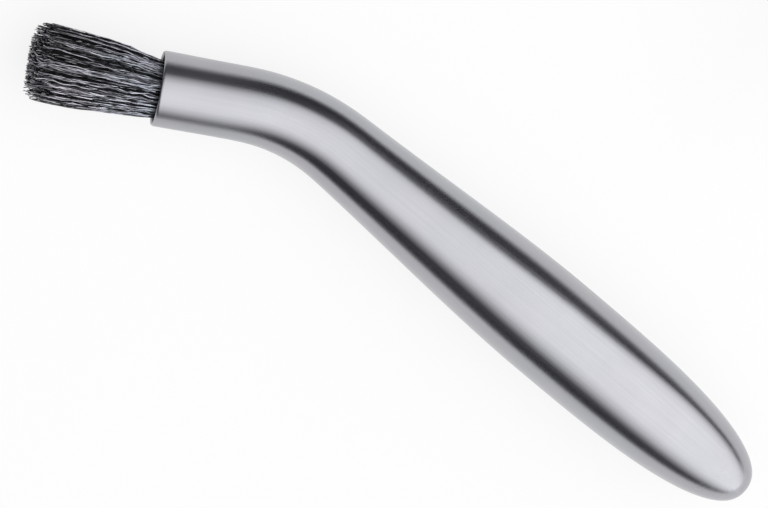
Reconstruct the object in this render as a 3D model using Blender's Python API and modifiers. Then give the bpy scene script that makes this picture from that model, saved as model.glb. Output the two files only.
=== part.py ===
# A coffee machine cleaning brush: a hollow steel handle with a bent neck, and a round
# tuft of bristles set in the mouth of the neck.
# Metres, +Z up. The brush lies on its side on a table, as it comes to rest there.

import math

import bmesh
import bpy
import numpy as np
from mathutils import Matrix, Vector

MM = 0.001

# The handle, along its middle line from the butt end to the mouth
GRIP_LENGTH = 112.8 * MM
BEND_RADIUS = 47.3 * MM
BEND_ANGLE = math.radians(29.56)
NECK_LENGTH = 17.45 * MM
BELLY_DIAMETER = 22.88 * MM
BELLY_PLACE = 55.9 * MM
WAIST_DIAMETER = 15.82 * MM
WAIST_DEPTH = 14.4 * MM
MOUTH_DIAMETER = 16.0 * MM
WALL = 0.6 * MM
SEAM_GAP = 0.3 * MM

# How full the butt is along and across, and how early the taper falls
BUTT_ALONG_POWER = 3.18
BUTT_ACROSS_POWER = 2.42
TAPER_POWER = 0.86

# What is fitted in the neck, from the mouth inward
FIT_CLEARANCE = 0.3 * MM
SLEEVE_RECESS = 3.0 * MM
SLEEVE_LENGTH = 8.0 * MM
SLEEVE_WALL = 0.6 * MM
PLUG_LENGTH = 3.0 * MM
PLUG_LEAD_IN = 0.8 * MM
RESIN_THICKNESS = 2.5 * MM
ROOT_SLICE_THICKNESS = 1.2 * MM
BINDING_WIRE_DIAMETER = 0.6 * MM

# The tuft outside the mouth, which leans back towards the grip's line. Its end diameter is that
# of the circle where the outermost strands end.
TUFT_LENGTH = 27.6 * MM
TUFT_END_DIAMETER = 17.8 * MM
TUFT_LEAN = math.radians(1.9)
TUFT_SHOULDER = 3.0 * MM
SHOULDER_POWER = 4
STRAND_RINGS = 8
STRAND_DIAMETER = 0.42 * MM
STRAND_EDGE = 0.08 * MM
STRAND_WOBBLE = 0.1 * MM
STRAND_END_SPREAD = 0.7 * MM
STRAND_TIP_SHARE = 0.85
WOBBLE_SEED = 7

# Facets
HANDLE_SIDES = 24
ROUND_SIDES = 28
WIRE_SIDES = 8
BUTT_STEPS = 15
BUTT_STEP_POWER = 1.2
GRIP_STEPS = 8
BEND_STEPS = 8
NECK_STEPS = 4
SLEEVE_SAMPLES = 9
WEIGHT_SAMPLES = 70
TUFT_WEIGHT_SAMPLES = 5
SMOOTH_ANGLE = math.radians(40)
OVERRUN = 5 * MM
WELD_DISTANCE = 0.001 * MM

# Weights against steel of the same outer volume, which settle how the brush lies
TUFT_WEIGHT_SHARE = 0.03
NECK_FILL_WEIGHT_SHARE = 0.12
LYING_MOST_TILT = math.radians(20)
LYING_SEARCH_STEPS = 32

BEND_LENGTH = BEND_RADIUS * BEND_ANGLE
MIDDLE_LENGTH = GRIP_LENGTH + BEND_LENGTH + NECK_LENGTH
BELLY_RADIUS = BELLY_DIAMETER / 2
WAIST_RADIUS = WAIST_DIAMETER / 2
MOUTH_RADIUS = MOUTH_DIAMETER / 2
WAIST_PLACE = MIDDLE_LENGTH - WAIST_DEPTH
SLEEVE_BASE_DEPTH = SLEEVE_RECESS + SLEEVE_LENGTH
PLUG_DEPTH = SLEEVE_BASE_DEPTH + FIT_CLEARANCE
RESIN_DEPTH = SLEEVE_BASE_DEPTH - RESIN_THICKNESS
ROOT_DEPTH = RESIN_DEPTH - FIT_CLEARANCE - ROOT_SLICE_THICKNESS
FLAT_SHARE = math.cos(math.pi / HANDLE_SIDES)


# The middle line and the outline

def middle_point(distance):
    # Straight grip along +X, then an arc towards -Y, then the straight neck.
    if distance <= GRIP_LENGTH:
        return Vector((GRIP_LENGTH - distance, 0, 0))
    turn = min((distance - GRIP_LENGTH) / BEND_RADIUS, BEND_ANGLE)
    past = max(distance - GRIP_LENGTH - BEND_LENGTH, 0)
    x = -BEND_RADIUS * math.sin(turn) - past * math.cos(turn)
    y = -BEND_RADIUS * (1 - math.cos(turn)) - past * math.sin(turn)
    return Vector((x, y, 0))


def middle_direction(distance):
    turn = min(max(distance - GRIP_LENGTH, 0) / BEND_RADIUS, BEND_ANGLE)
    return Vector((-math.cos(turn), -math.sin(turn), 0))


def eased(share):
    return (1 - math.cos(math.pi * share)) / 2


def outline_radius(distance, inset):
    # A blunt oval to the belly, an eased taper to the waist and a slight flare to the mouth.
    # The inset moves the outline inward, for the bore.
    belly = BELLY_RADIUS - inset
    waist = WAIST_RADIUS - inset
    mouth = MOUTH_RADIUS - inset
    if distance < BELLY_PLACE:
        along = (BELLY_PLACE - distance) / (BELLY_PLACE - inset)
        inside = max(1 - along ** BUTT_ALONG_POWER, 0)
        return belly * inside ** (1 / BUTT_ACROSS_POWER)
    if distance < WAIST_PLACE:
        share = (distance - BELLY_PLACE) / (WAIST_PLACE - BELLY_PLACE)
        return belly + (waist - belly) * eased(share ** TAPER_POWER)
    share = min((distance - WAIST_PLACE) / WAIST_DEPTH, 1)
    return waist + (mouth - waist) * eased(share)


def stations(inset):
    # Distances of the cross sections, closer together on the round butt and in the bend.
    butt = []
    for step in range(1, BUTT_STEPS + 1):
        angle = math.pi / 2 * (step / BUTT_STEPS) ** BUTT_STEP_POWER
        along = max(math.cos(angle), 0) ** (2 / BUTT_ALONG_POWER)
        butt.append(BELLY_PLACE - along * (BELLY_PLACE - inset))
    grip = np.linspace(BELLY_PLACE, GRIP_LENGTH, GRIP_STEPS + 1)[1:]
    bend = GRIP_LENGTH + np.linspace(0, BEND_LENGTH, BEND_STEPS + 1)[1:]
    neck = GRIP_LENGTH + BEND_LENGTH + np.linspace(0, NECK_LENGTH, NECK_STEPS + 1)[1:]
    return butt + list(grip) + list(bend) + list(neck)


def neck_bore_radius(nearest_depth, furthest_depth):
    # The flats of the faceted bore, where it is narrowest between the two depths.
    depths = np.linspace(nearest_depth, furthest_depth, SLEEVE_SAMPLES)
    return min(outline_radius(MIDDLE_LENGTH - depth, WALL) for depth in depths) * FLAT_SHARE


# Objects and materials

def clear_scene():
    for old in list(bpy.data.objects):
        bpy.data.objects.remove(old, do_unlink=True)


def make_collection(name):
    collection = bpy.data.collections.new(name)
    bpy.context.scene.collection.children.link(collection)
    return collection


def make_material(name, colour, roughness, metallic):
    material = bpy.data.materials.new(name)
    material.use_nodes = True
    shader = material.node_tree.nodes["Principled BSDF"]
    shader.inputs["Base Color"].default_value = (*colour, 1)
    shader.inputs["Roughness"].default_value = roughness
    shader.inputs["Metallic"].default_value = metallic
    return material


def make_empty(name, parent, matrix):
    empty = bpy.data.objects.new(name, None)
    parts.objects.link(empty)
    empty.parent = parent
    empty.matrix_local = matrix
    return empty


def make_object(name, mesh, parent, material):
    piece = bpy.data.objects.new(name, mesh)
    parts.objects.link(piece)
    piece.parent = parent
    mesh.materials.append(material)
    mesh.shade_smooth()
    mesh.set_sharp_from_angle(angle=SMOOTH_ANGLE)
    return piece


def make_cutter(name, mesh, parent):
    cutter = bpy.data.objects.new(name, mesh)
    cutters.objects.link(cutter)
    cutter.parent = parent
    cutter.hide_render = True
    cutter.display_type = "WIRE"
    return cutter


def cut_away(piece, cutter):
    boolean = piece.modifiers.new(cutter.name, "BOOLEAN")
    boolean.operation = "DIFFERENCE"
    boolean.object = cutter
    boolean.solver = "EXACT"


# Shapes

def tube_mesh(name, line, sides):
    # A round tube with capped ends, along a line of (point, radius) pairs.
    widest = max(radius for point, radius in line)
    curve = bpy.data.curves.new(name, "CURVE")
    curve.dimensions = "3D"
    curve.twist_mode = "Z_UP"
    curve.bevel_depth = widest
    curve.bevel_resolution = sides // 2 - 2
    curve.use_fill_caps = True
    spline = curve.splines.new("POLY")
    spline.points.add(len(line) - 1)
    for spline_point, (point, radius) in zip(spline.points, line):
        spline_point.co = (*point, 1)
        spline_point.radius = radius / widest
    guide = bpy.data.objects.new(name, curve)
    cutters.objects.link(guide)
    bpy.context.view_layer.update()
    evaluated = guide.evaluated_get(bpy.context.evaluated_depsgraph_get())
    mesh = bpy.data.meshes.new_from_object(evaluated)
    bpy.data.objects.remove(guide)
    work = bmesh.new()
    work.from_mesh(mesh)
    bmesh.ops.remove_doubles(work, verts=work.verts, dist=WELD_DISTANCE)
    work.to_mesh(mesh)
    work.free()
    return mesh


def turned_mesh(name, profile, closed):
    # The profile's points are (radius, height), down the outer side.
    mesh = bpy.data.meshes.new(name)
    points = [(radius, 0, height) for radius, height in profile]
    edges = [(index, index + 1) for index in range(len(points) - 1)]
    if closed:
        edges.append((len(points) - 1, 0))
    mesh.from_pydata(points, edges, [])
    return mesh


def add_screw(piece):
    screw = piece.modifiers.new("turn", "SCREW")
    screw.axis = "Z"
    screw.steps = ROUND_SIDES
    screw.render_steps = ROUND_SIDES
    screw.use_merge_vertices = True
    screw.merge_threshold = WELD_DISTANCE
    screw.use_smooth_shade = True


def box_mesh(name, size, centre):
    work = bmesh.new()
    bmesh.ops.create_cube(work, size=1)
    bmesh.ops.scale(work, vec=size, verts=work.verts)
    bmesh.ops.translate(work, vec=centre, verts=work.verts)
    mesh = bpy.data.meshes.new(name)
    work.to_mesh(mesh)
    work.free()
    return mesh


# The handle: two pressed halves that meet in the plane of the bend

def outer_mesh(name):
    line = [(middle_point(place), outline_radius(place, 0)) for place in stations(0)]
    return tube_mesh(name, line, HANDLE_SIDES)


def cavity_mesh():
    line = [(middle_point(place), outline_radius(place, WALL)) for place in stations(WALL)]
    beyond = middle_point(MIDDLE_LENGTH + OVERRUN)
    line.append((beyond, MOUTH_RADIUS - WALL))
    return tube_mesh("cavity", line, HANDLE_SIDES)


def far_side_mesh(name, side):
    # All that lies past the seam, on the side away from the half that is kept.
    length = 2 * (MIDDLE_LENGTH + OVERRUN)
    depth = BELLY_RADIUS + OVERRUN
    return box_mesh(name, (length, length, depth), (0, 0, side * (SEAM_GAP / 2 - depth / 2)))


def make_handle(steel):
    cavity = make_cutter("cavity", cavity_mesh(), brush)
    for name, side in (("handle_shell_upper", 1), ("handle_shell_lower", -1)):
        half = make_object(name, outer_mesh(name), brush, steel)
        far_side = make_cutter(name + "_far_side", far_side_mesh(name, side), brush)
        cut_away(half, far_side)
        cut_away(half, cavity)


# What sits in the neck, each piece placed by its depth below the mouth

def sleeve_radius():
    return neck_bore_radius(SLEEVE_RECESS, SLEEVE_BASE_DEPTH) - FIT_CLEARANCE


def sleeve_bore_radius():
    return sleeve_radius() - SLEEVE_WALL


def sleeve_space_radius():
    # The widest that a round piece can be inside the faceted sleeve.
    return sleeve_bore_radius() * math.cos(math.pi / ROUND_SIDES) - FIT_CLEARANCE


def root_slice_radius():
    return sleeve_space_radius() - BINDING_WIRE_DIAMETER - FIT_CLEARANCE


def make_sleeve(plastic):
    outer = sleeve_radius()
    bore = sleeve_bore_radius()
    profile = [(outer, 0), (outer, -SLEEVE_LENGTH), (bore, -SLEEVE_LENGTH), (bore, 0)]
    sleeve = make_object("tuft_sleeve", turned_mesh("tuft_sleeve", profile, True), mouth, plastic)
    sleeve.location = (0, 0, -SLEEVE_RECESS)
    add_screw(sleeve)


def make_plug(plastic):
    radius = neck_bore_radius(PLUG_DEPTH, PLUG_DEPTH + PLUG_LENGTH) - FIT_CLEARANCE
    narrow = radius - PLUG_LEAD_IN
    profile = [(0, 0), (radius, 0), (radius, PLUG_LEAD_IN - PLUG_LENGTH), (narrow, -PLUG_LENGTH)]
    profile.append((0, -PLUG_LENGTH))
    plug = make_object("neck_plug", turned_mesh("neck_plug", profile, False), mouth, plastic)
    plug.location = (0, 0, -PLUG_DEPTH)
    add_screw(plug)


def make_resin(resin):
    # It fills the sleeve between the bristle roots and the plug.
    radius = sleeve_space_radius()
    profile = [(0, 0), (radius, 0), (radius, -RESIN_THICKNESS), (0, -RESIN_THICKNESS)]
    fill = make_object("potting_resin", turned_mesh("potting_resin", profile, False), mouth, resin)
    fill.location = (0, 0, -RESIN_DEPTH)
    add_screw(fill)


def make_binding(steel):
    # A turn of wire that ties the bristle roots together.
    wire_radius = BINDING_WIRE_DIAMETER / 2
    bpy.ops.mesh.primitive_torus_add(
        major_segments=ROUND_SIDES,
        minor_segments=WIRE_SIDES,
        major_radius=sleeve_space_radius() - wire_radius,
        minor_radius=wire_radius,
    )
    torus = bpy.context.active_object
    mesh = torus.data
    bpy.data.objects.remove(torus)
    binding = make_object("root_binding", mesh, mouth, steel)
    binding.location = (0, 0, -ROOT_DEPTH - ROOT_SLICE_THICKNESS / 2)


# The tuft

def round_hexagon(work, radius, rings):
    # A disc of equal triangles, six to the first ring: a hexagon divided evenly, then each
    # corner moved out along its spoke until its hexagonal ring is a circle.
    bmesh.ops.create_circle(work, cap_ends=True, cap_tris=True, segments=6, radius=1)
    bmesh.ops.subdivide_edges(work, edges=work.edges, cuts=rings - 1, use_grid_fill=True)
    half_side = math.pi / 6
    for corner in work.verts:
        turn = math.atan2(corner.co.x, corner.co.y) % (2 * half_side) - half_side
        corner.co *= radius * math.cos(turn) / math.cos(half_side)


def make_slice(work):
    # The bristles' roots, stuck together with resin: a disc, and one triangle on it a strand.
    radius = root_slice_radius()
    round_hexagon(work, radius, STRAND_RINGS)
    bmesh.ops.translate(work, verts=work.verts, vec=(0, 0, -ROOT_DEPTH))
    cells = list(work.faces)
    edge = [side for side in work.edges if side.is_boundary]
    wall = bmesh.ops.extrude_edge_only(work, edges=edge)["geom"]
    base_corners = [item for item in wall if isinstance(item, bmesh.types.BMVert)]
    base_edges = [item for item in wall if isinstance(item, bmesh.types.BMEdge) and item.is_boundary]
    bmesh.ops.translate(work, verts=base_corners, vec=(0, 0, -ROOT_SLICE_THICKNESS))
    bmesh.ops.edgeloop_fill(work, edges=base_edges)
    bmesh.ops.inset_individual(work, faces=cells, thickness=STRAND_EDGE)
    return cells


def strand_ends(root, drift):
    # Where a strand passes the sleeve's rim and where it ends. It keeps its spoke and its share
    # of the radius all the way, so that none crosses another. The outermost triangles' middles
    # lie a third of a ring inside the slice's edge.
    centre = root.calc_center_median()
    strand_radius = STRAND_DIAMETER / 2
    outermost = root_slice_radius() * (1 - 1 / (3 * STRAND_RINGS))
    share = centre.xy.length / outermost
    spoke = centre.xy.normalized()
    rim_out = (sleeve_space_radius() - strand_radius) * share
    rim = Vector((spoke.x * rim_out, spoke.y * rim_out, -SLEEVE_RECESS))
    length = TUFT_LENGTH - TUFT_SHOULDER * share ** SHOULDER_POWER
    length -= STRAND_END_SPREAD * abs(drift[2]) * (1 - share)
    end_out = (TUFT_END_DIAMETER / 2 - strand_radius) * share
    wobble = STRAND_WOBBLE * (1 - share)
    end = Vector((spoke.x * end_out + drift[0] * wobble, spoke.y * end_out + drift[1] * wobble, length))
    end.z += SLEEVE_RECESS
    end.rotate(Matrix.Rotation(-TUFT_LEAN, 3, "Y"))
    end.z -= SLEEVE_RECESS
    return rim, end


def grow_strand(work, root, places):
    # The root's triangle drawn out through the places, as thick as a strand.
    centre = root.calc_center_median()
    corners = [STRAND_DIAMETER / 2 * (corner.co - centre).normalized() for corner in root.verts]
    for corner, offset in zip(root.verts, corners):
        corner.co = centre + offset
    face = root
    for place, thickness_share in zip(places, (1, STRAND_TIP_SHARE)):
        face = bmesh.ops.extrude_discrete_faces(work, faces=[face])["faces"][0]
        for corner, offset in zip(face.verts, corners):
            corner.co = place + offset * thickness_share


def least_gap(levels):
    # The smallest clear distance between two strands at their rim and ends. Neighbours face each
    # other side to side, and a triangle's side is a quarter of its diameter from its centre.
    smallest = math.inf
    for points in levels:
        apart = np.linalg.norm(points[:, None] - points[None], axis=2)
        np.fill_diagonal(apart, math.inf)
        smallest = min(smallest, apart.min() - STRAND_DIAMETER / 2)
    return smallest


def make_tuft(bristle):
    drift = np.random.default_rng(WOBBLE_SEED)
    work = bmesh.new()
    roots = make_slice(work)
    places = [strand_ends(root, drift.uniform(-1, 1, 3)) for root in roots]
    for root, ends in zip(roots, places):
        grow_strand(work, root, ends)
    bmesh.ops.recalc_face_normals(work, faces=work.faces)
    mesh = bpy.data.meshes.new("bristle_tuft")
    work.to_mesh(mesh)
    work.free()
    make_object("bristle_tuft", mesh, mouth, bristle)
    gap = least_gap([np.array(level) for level in zip(*places)])
    print(f"{len(places)} strands, least gap between them {gap / MM:.3f} mm")


# How the brush lies: with its weight as low as it can go

def weighted_sections():
    # Round sections along the brush: middle, direction, radius and weight.
    sections = []
    places = np.linspace(0, MIDDLE_LENGTH, WEIGHT_SAMPLES)
    step = places[1]
    for place in places:
        radius = outline_radius(place, 0)
        sections.append((middle_point(place), middle_direction(place), radius, 2 * radius * WALL * step))
    neck = middle_point(MIDDLE_LENGTH - SLEEVE_BASE_DEPTH)
    neck_weight = sleeve_radius() ** 2 * SLEEVE_LENGTH * NECK_FILL_WEIGHT_SHARE
    sections.append((neck, middle_direction(MIDDLE_LENGTH), sleeve_radius(), neck_weight))
    turn = BEND_ANGLE - TUFT_LEAN
    direction = Vector((-math.cos(turn), -math.sin(turn), 0))
    end_radius = TUFT_END_DIAMETER / 2
    for share in np.linspace(0, 1, TUFT_WEIGHT_SAMPLES):
        middle = middle_point(MIDDLE_LENGTH) + direction * (TUFT_LENGTH - TUFT_SHOULDER) * share
        radius = sleeve_space_radius() + (end_radius - sleeve_space_radius()) * share
        weight = radius ** 2 * TUFT_LENGTH / TUFT_WEIGHT_SAMPLES * TUFT_WEIGHT_SHARE
        sections.append((middle, direction, radius, weight))
    return sections


def lowest_place(height, most):
    # Where a function with one valley between -most and most is lowest.
    low = -most
    high = most
    for step in range(LYING_SEARCH_STEPS):
        third = (high - low) / 3
        if height(low + third) < height(high - third):
            high -= third
        else:
            low += third
    return (low + high) / 2


def lying_up():
    # The upward direction, seen from the brush, for which its centre of mass lies lowest.
    sections = weighted_sections()
    middles = np.array([section[0] for section in sections])
    directions = np.array([section[1] for section in sections])
    radii = np.array([section[2] for section in sections])
    weights = np.array([section[3] for section in sections])
    centre = weights @ middles / weights.sum()

    def upward(pitch, roll):
        leaning = np.array([math.sin(pitch), math.sin(roll), 1])
        return leaning / np.linalg.norm(leaning)

    def height(pitch, roll):
        up = upward(pitch, roll)
        reach = radii * np.sqrt(1 - (directions @ up) ** 2)
        return up @ centre - (middles @ up - reach).min()

    def best_pitch(roll):
        return lowest_place(lambda pitch: height(pitch, roll), LYING_MOST_TILT)

    roll = lowest_place(lambda angle: height(best_pitch(angle), angle), LYING_MOST_TILT)
    return Vector(upward(best_pitch(roll), roll))


def lay_down():
    up = lying_up()
    forward = (Vector((1, 0, 0)) - up * up.x).normalized()
    brush.matrix_world = Matrix((forward, up.cross(forward), up)).to_4x4()
    bpy.context.view_layer.update()
    graph = bpy.context.evaluated_depsgraph_get()
    corners = []
    for piece in parts.objects:
        if piece.type == "MESH":
            evaluated = piece.evaluated_get(graph)
            corners += [evaluated.matrix_world @ corner.co for corner in evaluated.data.vertices]
    corners = np.array(corners)
    low = corners.min(axis=0)
    high = corners.max(axis=0)
    middle = (low + high) / 2
    brush.matrix_world = Matrix.Translation((-middle[0], -middle[1], -low[2])) @ brush.matrix_world
    bpy.context.view_layer.update()


def mouth_matrix():
    # +Z out of the mouth, +Y to the upper side, +X away from the grip's line.
    out = middle_direction(MIDDLE_LENGTH)
    upper = Vector((0, 0, 1))
    turned = Matrix((upper.cross(out), upper, out)).transposed().to_4x4()
    return Matrix.Translation(middle_point(MIDDLE_LENGTH)) @ turned


clear_scene()
parts = make_collection("coffee_machine_cleaning_brush")
cutters = make_collection("cutters")
brush = make_empty("brush", None, Matrix.Identity(4))
mouth = make_empty("mouth", brush, mouth_matrix())

steel = make_material("satin_steel", (0.6, 0.6, 0.62), 0.32, 1)
wire = make_material("binding_wire", (0.55, 0.55, 0.55), 0.4, 1)
dark_plastic = make_material("dark_plastic", (0.03, 0.03, 0.035), 0.5, 0)
grey_plastic = make_material("grey_plastic", (0.3, 0.3, 0.3), 0.6, 0)
epoxy = make_material("epoxy", (0.25, 0.18, 0.08), 0.25, 0)
black_bristle = make_material("black_bristle", (0.03, 0.03, 0.035), 0.4, 0)

make_handle(steel)
make_sleeve(dark_plastic)
make_plug(grey_plastic)
make_resin(epoxy)
make_binding(wire)
make_tuft(black_bristle)
lay_down()
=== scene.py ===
import math

import bpy
import numpy as np
from mathutils import Matrix


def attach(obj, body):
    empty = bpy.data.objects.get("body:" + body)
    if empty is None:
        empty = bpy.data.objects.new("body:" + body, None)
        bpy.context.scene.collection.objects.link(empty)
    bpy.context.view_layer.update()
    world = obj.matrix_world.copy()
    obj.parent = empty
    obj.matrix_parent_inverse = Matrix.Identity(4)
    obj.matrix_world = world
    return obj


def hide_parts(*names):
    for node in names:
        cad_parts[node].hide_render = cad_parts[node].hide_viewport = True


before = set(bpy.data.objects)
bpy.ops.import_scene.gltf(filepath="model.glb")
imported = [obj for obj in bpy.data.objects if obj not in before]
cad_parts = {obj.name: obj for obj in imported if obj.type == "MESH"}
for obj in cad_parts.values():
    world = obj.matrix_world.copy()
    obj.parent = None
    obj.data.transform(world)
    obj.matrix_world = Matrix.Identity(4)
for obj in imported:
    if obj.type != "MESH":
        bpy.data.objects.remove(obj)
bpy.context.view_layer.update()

mm = 0.001
print("frame loaded:", ", ".join(sorted(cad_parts)))


# How the brush lies: which way is up for it, and where its bend starts on the table.
# Its own axes have +X to the butt, the neck bent towards -Y, and +Z square to the bend.
lying = {
    "up": (0.04640115, -0.10094323, 0.9938094),
    "bendStart": (-23.68773 * mm, 11.18494 * mm, 8.99917 * mm),
}

upward = np.array(lying["up"])
forward = np.array([1, 0, 0]) - upward * upward[0]
forward = forward / np.linalg.norm(forward)
toTable = np.array([forward, np.cross(upward, forward), upward])


def laid(points):
    # From the brush's own axes to the table's.
    return np.asarray(points) @ toTable.T + np.array(lying["bendStart"])


# General helpers

def unit(vectors):
    # Each vector divided by its length.
    return vectors / np.linalg.norm(vectors, axis=-1, keepdims=True)


def eased(share):
    # Half a cosine, from 0 to 1.
    return (1 - np.cos(np.pi * np.clip(share, 0, 1))) / 2


def enclosedVolume(points, quads, triangles):
    # The sum of the tetrahedra from the origin to each triangle.
    allTriangles = np.concatenate([quads[:, [0, 1, 2]], quads[:, [0, 2, 3]], triangles])
    a, b, c = (points[allTriangles[:, corner]] for corner in range(3))
    return np.einsum("ij,ij->i", a, np.cross(b, c)).sum() / 6


def gridQuads(grid):
    # The four corners of each cell of a grid of point numbers.
    corners = [grid[:-1, :-1], grid[:-1, 1:], grid[1:, 1:], grid[1:, :-1]]
    return np.stack(corners, -1).reshape(-1, 4)


def addObject(name, data):
    added = bpy.data.objects.new(name, data)
    bpy.context.scene.collection.objects.link(added)
    return added


def makePiece(name, points, quads, triangles, material, replaced):
    # One closed mesh with its faces outward, riding on the only body.
    quads = np.asarray(quads).reshape(-1, 4)
    triangles = np.asarray(triangles, int).reshape(-1, 3)
    if enclosedVolume(points, quads, triangles) < 0:
        quads = quads[:, ::-1]
        triangles = triangles[:, ::-1]
    mesh = bpy.data.meshes.new(name)
    mesh.from_pydata(points.tolist(), [], quads.tolist() + triangles.tolist())
    mesh.shade_smooth()
    mesh.materials.append(material)
    piece = addObject(name, mesh)
    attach(piece, "root")
    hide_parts(*replaced)
    return piece


def addAttribute(mesh, name, kind, values):
    attribute = mesh.attributes.new(name, kind, "POINT")
    field = "vector" if kind == "FLOAT_VECTOR" else "value"
    attribute.data.foreach_set(field, np.asarray(values, np.float32).ravel())


# Node helpers

def addNode(tree, kind, **settings):
    node = tree.nodes.new(kind)
    for key, value in settings.items():
        setattr(node, key, value)
    return node


def feed(tree, source, socket):
    # A socket is linked, and a plain number or colour is written in place.
    if isinstance(source, bpy.types.NodeSocket):
        tree.links.new(source, socket)
    else:
        socket.default_value = source


def calculate(tree, operation, first, second=0.0, clamp=False):
    node = addNode(tree, "ShaderNodeMath", operation=operation, use_clamp=clamp)
    feed(tree, first, node.inputs[0])
    feed(tree, second, node.inputs[1])
    return node.outputs[0]


def multiply(tree, *values):
    product = values[0]
    for value in values[1:]:
        product = calculate(tree, "MULTIPLY", product, value)
    return product


def remap(tree, value, low, high, toLow, toHigh, **settings):
    node = addNode(tree, "ShaderNodeMapRange", **settings)
    for socket, source in zip(node.inputs, (value, low, high, toLow, toHigh)):
        feed(tree, source, socket)
    return node.outputs[0]


def fade(tree, value, dark, lit):
    # 0 at the dark end, 1 at the lit end, with a soft start and finish.
    return remap(tree, value, dark, lit, 0.0, 1.0, interpolation_type="SMOOTHSTEP")


def mixColours(tree, share, first, second, blend="MIX"):
    node = addNode(tree, "ShaderNodeMix", data_type="RGBA", blend_type=blend)
    feed(tree, share, node.inputs[0])
    feed(tree, first, node.inputs[6])
    feed(tree, second, node.inputs[7])
    return node.outputs[2]


def noise(tree, vector, scale, detail, roughness):
    node = addNode(tree, "ShaderNodeTexNoise")
    feed(tree, vector, node.inputs["Vector"])
    feed(tree, scale, node.inputs["Scale"])
    feed(tree, detail, node.inputs["Detail"])
    feed(tree, roughness, node.inputs["Roughness"])
    return node.outputs["Fac"]


def splitAxes(tree, vector):
    node = addNode(tree, "ShaderNodeSeparateXYZ")
    feed(tree, vector, node.inputs[0])
    return node.outputs


def readAttribute(tree, name, output):
    return addNode(tree, "ShaderNodeAttribute", attribute_name=name).outputs[output]


def objectPlace(tree):
    return addNode(tree, "ShaderNodeTexCoord").outputs["Object"]


def setBump(tree, shader, height, depth):
    bump = addNode(tree, "ShaderNodeBump")
    bump.inputs["Strength"].default_value = 1.0
    bump.inputs["Distance"].default_value = depth
    feed(tree, height, bump.inputs["Height"])
    feed(tree, bump.outputs[0], shader.inputs["Normal"])


def newMaterial(name, **constants):
    # A Principled material, with what is the same all over set on its own sockets.
    material = bpy.data.materials.new(name)
    material.use_nodes = True
    tree = material.node_tree
    shader = tree.nodes["Principled BSDF"]
    for socket, value in constants.items():
        shader.inputs[socket.replace("_", " ")].default_value = value
    return material, tree, shader


def newGroup(name, inputs, outputs):
    # A node group that gives masks and values only.
    group = bpy.data.node_groups.new(name, "ShaderNodeTree")
    for label, kind in inputs:
        group.interface.new_socket(label, in_out="INPUT", socket_type=kind)
    for label in outputs:
        group.interface.new_socket(label, in_out="OUTPUT", socket_type="NodeSocketFloat")
    given = group.nodes.new("NodeGroupInput").outputs
    result = group.nodes.new("NodeGroupOutput").inputs
    return group, given, result


def placeGroup(tree, group, **values):
    node = addNode(tree, "ShaderNodeGroup", node_tree=group)
    for label, value in values.items():
        feed(tree, value, node.inputs[label.replace("_", " ")])
    return node.outputs


# Effects that several materials share

effects = {
    "noiseRange": (0.3, 0.7),  # where nearly all of the noise lies
    "streakWidening": 5.0,  # how much broader and longer a streak is than a line
    "lineScale": 0.5,
    "lineDetail": 2.5,
    "lineRoughness": 0.6,
    "cloudDetail": 3.0,
    "cloudRoughness": 0.55,
}


def makeBrushLines():
    # Fine lines drawn out along the first axis, and broader streaks under them.
    group, given, result = newGroup("brush lines", [
        ("Coordinates", "NodeSocketVector"), ("Line Width", "NodeSocketFloat"),
        ("Line Length", "NodeSocketFloat")], ("Lines", "Streaks"))
    parts = splitAxes(group, given["Coordinates"])
    for label, widening in (("Lines", 1.0), ("Streaks", effects["streakWidening"])):
        across = calculate(group, "DIVIDE", 1.0 / widening, given["Line Width"])
        along = calculate(group, "DIVIDE", 1.0 / widening, given["Line Length"])
        drawn = addNode(group, "ShaderNodeCombineXYZ")
        for axis, scale in enumerate((along, across, across)):
            feed(group, multiply(group, parts[axis], scale), drawn.inputs[axis])
        value = noise(
            group, drawn.outputs[0], effects["lineScale"], effects["lineDetail"],
            effects["lineRoughness"])
        feed(group, value, result[label])
    return group


def makeClouds():
    # Soft unevenness, as a mask from 0 to 1, with patches of the given size.
    inputs = [("Coordinates", "NodeSocketVector"), ("Patch Size", "NodeSocketFloat")]
    group, given, result = newGroup("soft clouds", inputs, ("Mask",))
    scale = calculate(group, "DIVIDE", 1.0, given["Patch Size"])
    value = noise(
        group, given["Coordinates"], scale, effects["cloudDetail"], effects["cloudRoughness"])
    feed(group, remap(group, value, *effects["noiseRange"], 0.0, 1.0), result["Mask"])
    return group


brushLines = makeBrushLines()
clouds = makeClouds()


def drawLines(tree, place, width, length):
    # The lines and the streaks, for lines of this width and length.
    return placeGroup(tree, brushLines, Coordinates=place, Line_Width=width, Line_Length=length)


def drawClouds(tree, place, size):
    return placeGroup(tree, clouds, Coordinates=place, Patch_Size=size)["Mask"]


# The steel

satin = {
    "colour": (0.404, 0.394, 0.4235, 1),
    "paleColour": (0.4655, 0.454, 0.488, 1),
    "lineShare": 0.4,  # how far the lines, the streaks and the clouds pale it
    "streakShare": 0.3,
    "cloudShare": 0.3,
    "coolTint": (0.955, 1.01, 0.99, 1),
    "tintSize": 16 * mm,
    "roughness": 0.24,
    "roughnessSpread": 0.035,
    "neckRoughness": 0.075,  # added towards the mouth, between these distances from it
    "neckRough": (32 * mm, 10 * mm),
    "lineWidth": 0.16 * mm,
    "lineLength": 14 * mm,
    "lineDepth": 0.0012 * mm,
    "patchSize": 9 * mm,
}


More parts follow.
